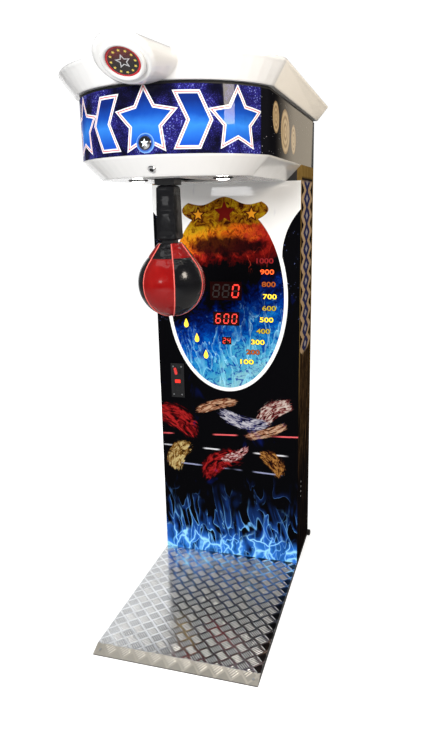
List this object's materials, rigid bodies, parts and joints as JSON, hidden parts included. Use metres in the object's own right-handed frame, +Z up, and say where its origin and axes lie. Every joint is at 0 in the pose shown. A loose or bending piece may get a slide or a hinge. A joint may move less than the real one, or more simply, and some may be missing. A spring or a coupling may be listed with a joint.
{
  "type": "boxing arcade machine",
  "caption": "Free-standing punch game: tread-plate platform, printed column with a lit scoreboard, and a flared overhanging head with a punch ball on a swing arm.",
  "frame": {"origin": "on the floor, under the column's front face and on the centre line", "axes": "+X to the right as the player sees it, +Y backwards, away from the player, +Z up"},
  "size_m": [0.8, 1.4401, 2.2141],
  "materials": {
    "board_black": "black edge band",
    "tread": "bright five-bar tread pattern",
    "bare_steel": "satin",
    "chrome": "polished",
    "wheel_rubber": "matte",
    "side_print": "printed film under clear lacquer",
    "front_print": "back-printed clear sheet",
    "cabinet_wood": "black laminate",
    "shelf_wood": "plain plywood",
    "black_paint": "satin powder coat",
    "black_plastic": "matte",
    "frame_paint": "grey primer",
    "shell_white": "high gloss",
    "band_print": "printed film, high gloss",
    "gasket_black": "matte",
    "emblem_print": "printed disc",
    "start_blue": "lit ring",
    "start_cap": "gloss",
    "lens_white": "opal, lit",
    "bearing_iron": "painted",
    "arm_paint": "satin",
    "collar_rubber": "matte",
    "sleeve_leather": "black, soft gloss",
    "ball_leather": "red and black panels, glossy",
    "pad_rubber": "matte",
    "display_window": "dark red window",
    "display_red": "lit segments",
    "reject_red": "gloss",
    "circuit_green": "satin"
  },
  "bodies": {
    "machine": {"floor_board": "board_black", "tread_plate": "tread", "lip_screws": "bare_steel", "wheel_axles": "bare_steel", "side_left": "side_print", "side_right": "side_print", "front_board": "cabinet_wood", "fascia": "front_print", "back_panel": "cabinet_wood", "shelf": "shelf_wood", "door_hinge_fixed": "bare_steel", "vent_grille": "black_paint", "inlet": "black_plastic", "column_frame": "frame_paint", "head_frame": "frame_paint", "lower_shell": "shell_white", "slot_trim": "shell_white", "head_band": "band_print", "head_back": "black_paint", "gasket": "gasket_black", "roof_cap": "shell_white", "emblem_ring": "shell_white", "emblem_disc": "emblem_print", "start_bezel": "start_blue", "key_lock_barrel": "chrome", "spot_rings": "black_plastic", "spot_lenses": "lens_white", "bearings": "bearing_iron", "encoder_sensor": "black_plastic", "stop_buffers": "pad_rubber", "latch_bracket": "black_paint", "displays": "display_window", "display_segments": "display_red", "coin_plate": "black_paint", "coin_screws": "bare_steel", "coin_mech": "black_plastic", "coin_chute": "bare_steel", "cash_box": "bare_steel", "control_board": "circuit_green", "power_supply": "bare_steel"},
    "wheel_left": {"wheel_left": "wheel_rubber"},
    "wheel_right": {"wheel_right": "wheel_rubber"},
    "door": {"service_door": "cabinet_wood", "door_hinge_leaf": "bare_steel", "door_lock_ring": "chrome"},
    "door_cam": {"door_lock_cam": "bare_steel"},
    "rocker": {"power_rocker": "black_plastic"},
    "start": {"start_button": "start_cap"},
    "key_plug": {"key_lock_plug": "black_plastic"},
    "swing": {"swing_shaft": "bare_steel", "swing_arm": "arm_paint", "arm_collar": "collar_rubber", "arm_sleeve": "sleeve_leather", "ball_link": "collar_rubber", "punch_ball": "ball_leather", "encoder_disc": "tread"},
    "pawl": {"latch_pawl": "bare_steel"},
    "plunger": {"latch_plunger": "bare_steel"},
    "reject": {"coin_reject": "reject_red"},
    "flap": {"coin_flap": "black_plastic"}
  },
  "joints": [
    {"name": "ball_swing", "type": "hinge", "parent": "machine", "child": "swing", "pos_m": [0, -0.69, 1.94], "axis": [1, 0, 0], "range_deg": [-6, 58]},
    {"name": "wheel_left_spin", "type": "hinge", "parent": "machine", "child": "wheel_left", "pos_m": [-0.348, 0.332, 0.017], "axis": [1, 0, 0], "continuous": true},
    {"name": "wheel_right_spin", "type": "hinge", "parent": "machine", "child": "wheel_right", "pos_m": [0.348, 0.332, 0.017], "axis": [1, 0, 0], "continuous": true},
    {"name": "door_hinge", "type": "hinge", "parent": "machine", "child": "door", "pos_m": [-0.261, 0.3575, 0.63], "axis": [0, 0, 1], "range_deg": [0, 110]},
    {"name": "door_cam_turn", "type": "hinge", "parent": "door", "child": "door_cam", "pos_m": [0.23, 0.345, 0.63], "axis": [0, 1, 0], "range_deg": [0, 90]},
    {"name": "rocker_tilt", "type": "hinge", "parent": "machine", "child": "rocker", "pos_m": [0.235, 0.346, 0.138], "axis": [1, 0, 0], "range_deg": [-18, 0]},
    {"name": "start_press", "type": "slide", "parent": "machine", "child": "start", "axis": [0, 1, 0], "range_m": [0, 0.004], "stiffness_N_per_m": 400, "springref_m": -0.002},
    {"name": "key_turn", "type": "hinge", "parent": "machine", "child": "key_plug", "pos_m": [0, -0.83, 1.86], "axis": [0, -0.7071, -0.7071], "range_deg": [0, 90]},
    {"name": "pawl_turn", "type": "hinge", "parent": "machine", "child": "pawl", "pos_m": [0, -0.702, 2.062], "axis": [1, 0, 0], "range_deg": [0, 30], "stiffness_Nm_per_rad": 0.6, "springref_deg": -14.32},
    {"name": "plunger_slide", "type": "slide", "parent": "machine", "child": "plunger", "axis": [0, -1, 0], "range_m": [0, 0.0115]},
    {"name": "reject_press", "type": "slide", "parent": "machine", "child": "reject", "axis": [0, 1, 0], "range_m": [0, 0.004], "stiffness_N_per_m": 300, "springref_m": -0.002},
    {"name": "coin_flap_swing", "type": "hinge", "parent": "machine", "child": "flap", "pos_m": [-0.249, -0.0004, 0.898], "axis": [1, 0, 0], "range_deg": [0, 50]}
  ],
  "couplings": [
    {"joint": "plunger_slide", "follows": "pawl_turn", "m_per_rad": 0.02175}
  ]
}
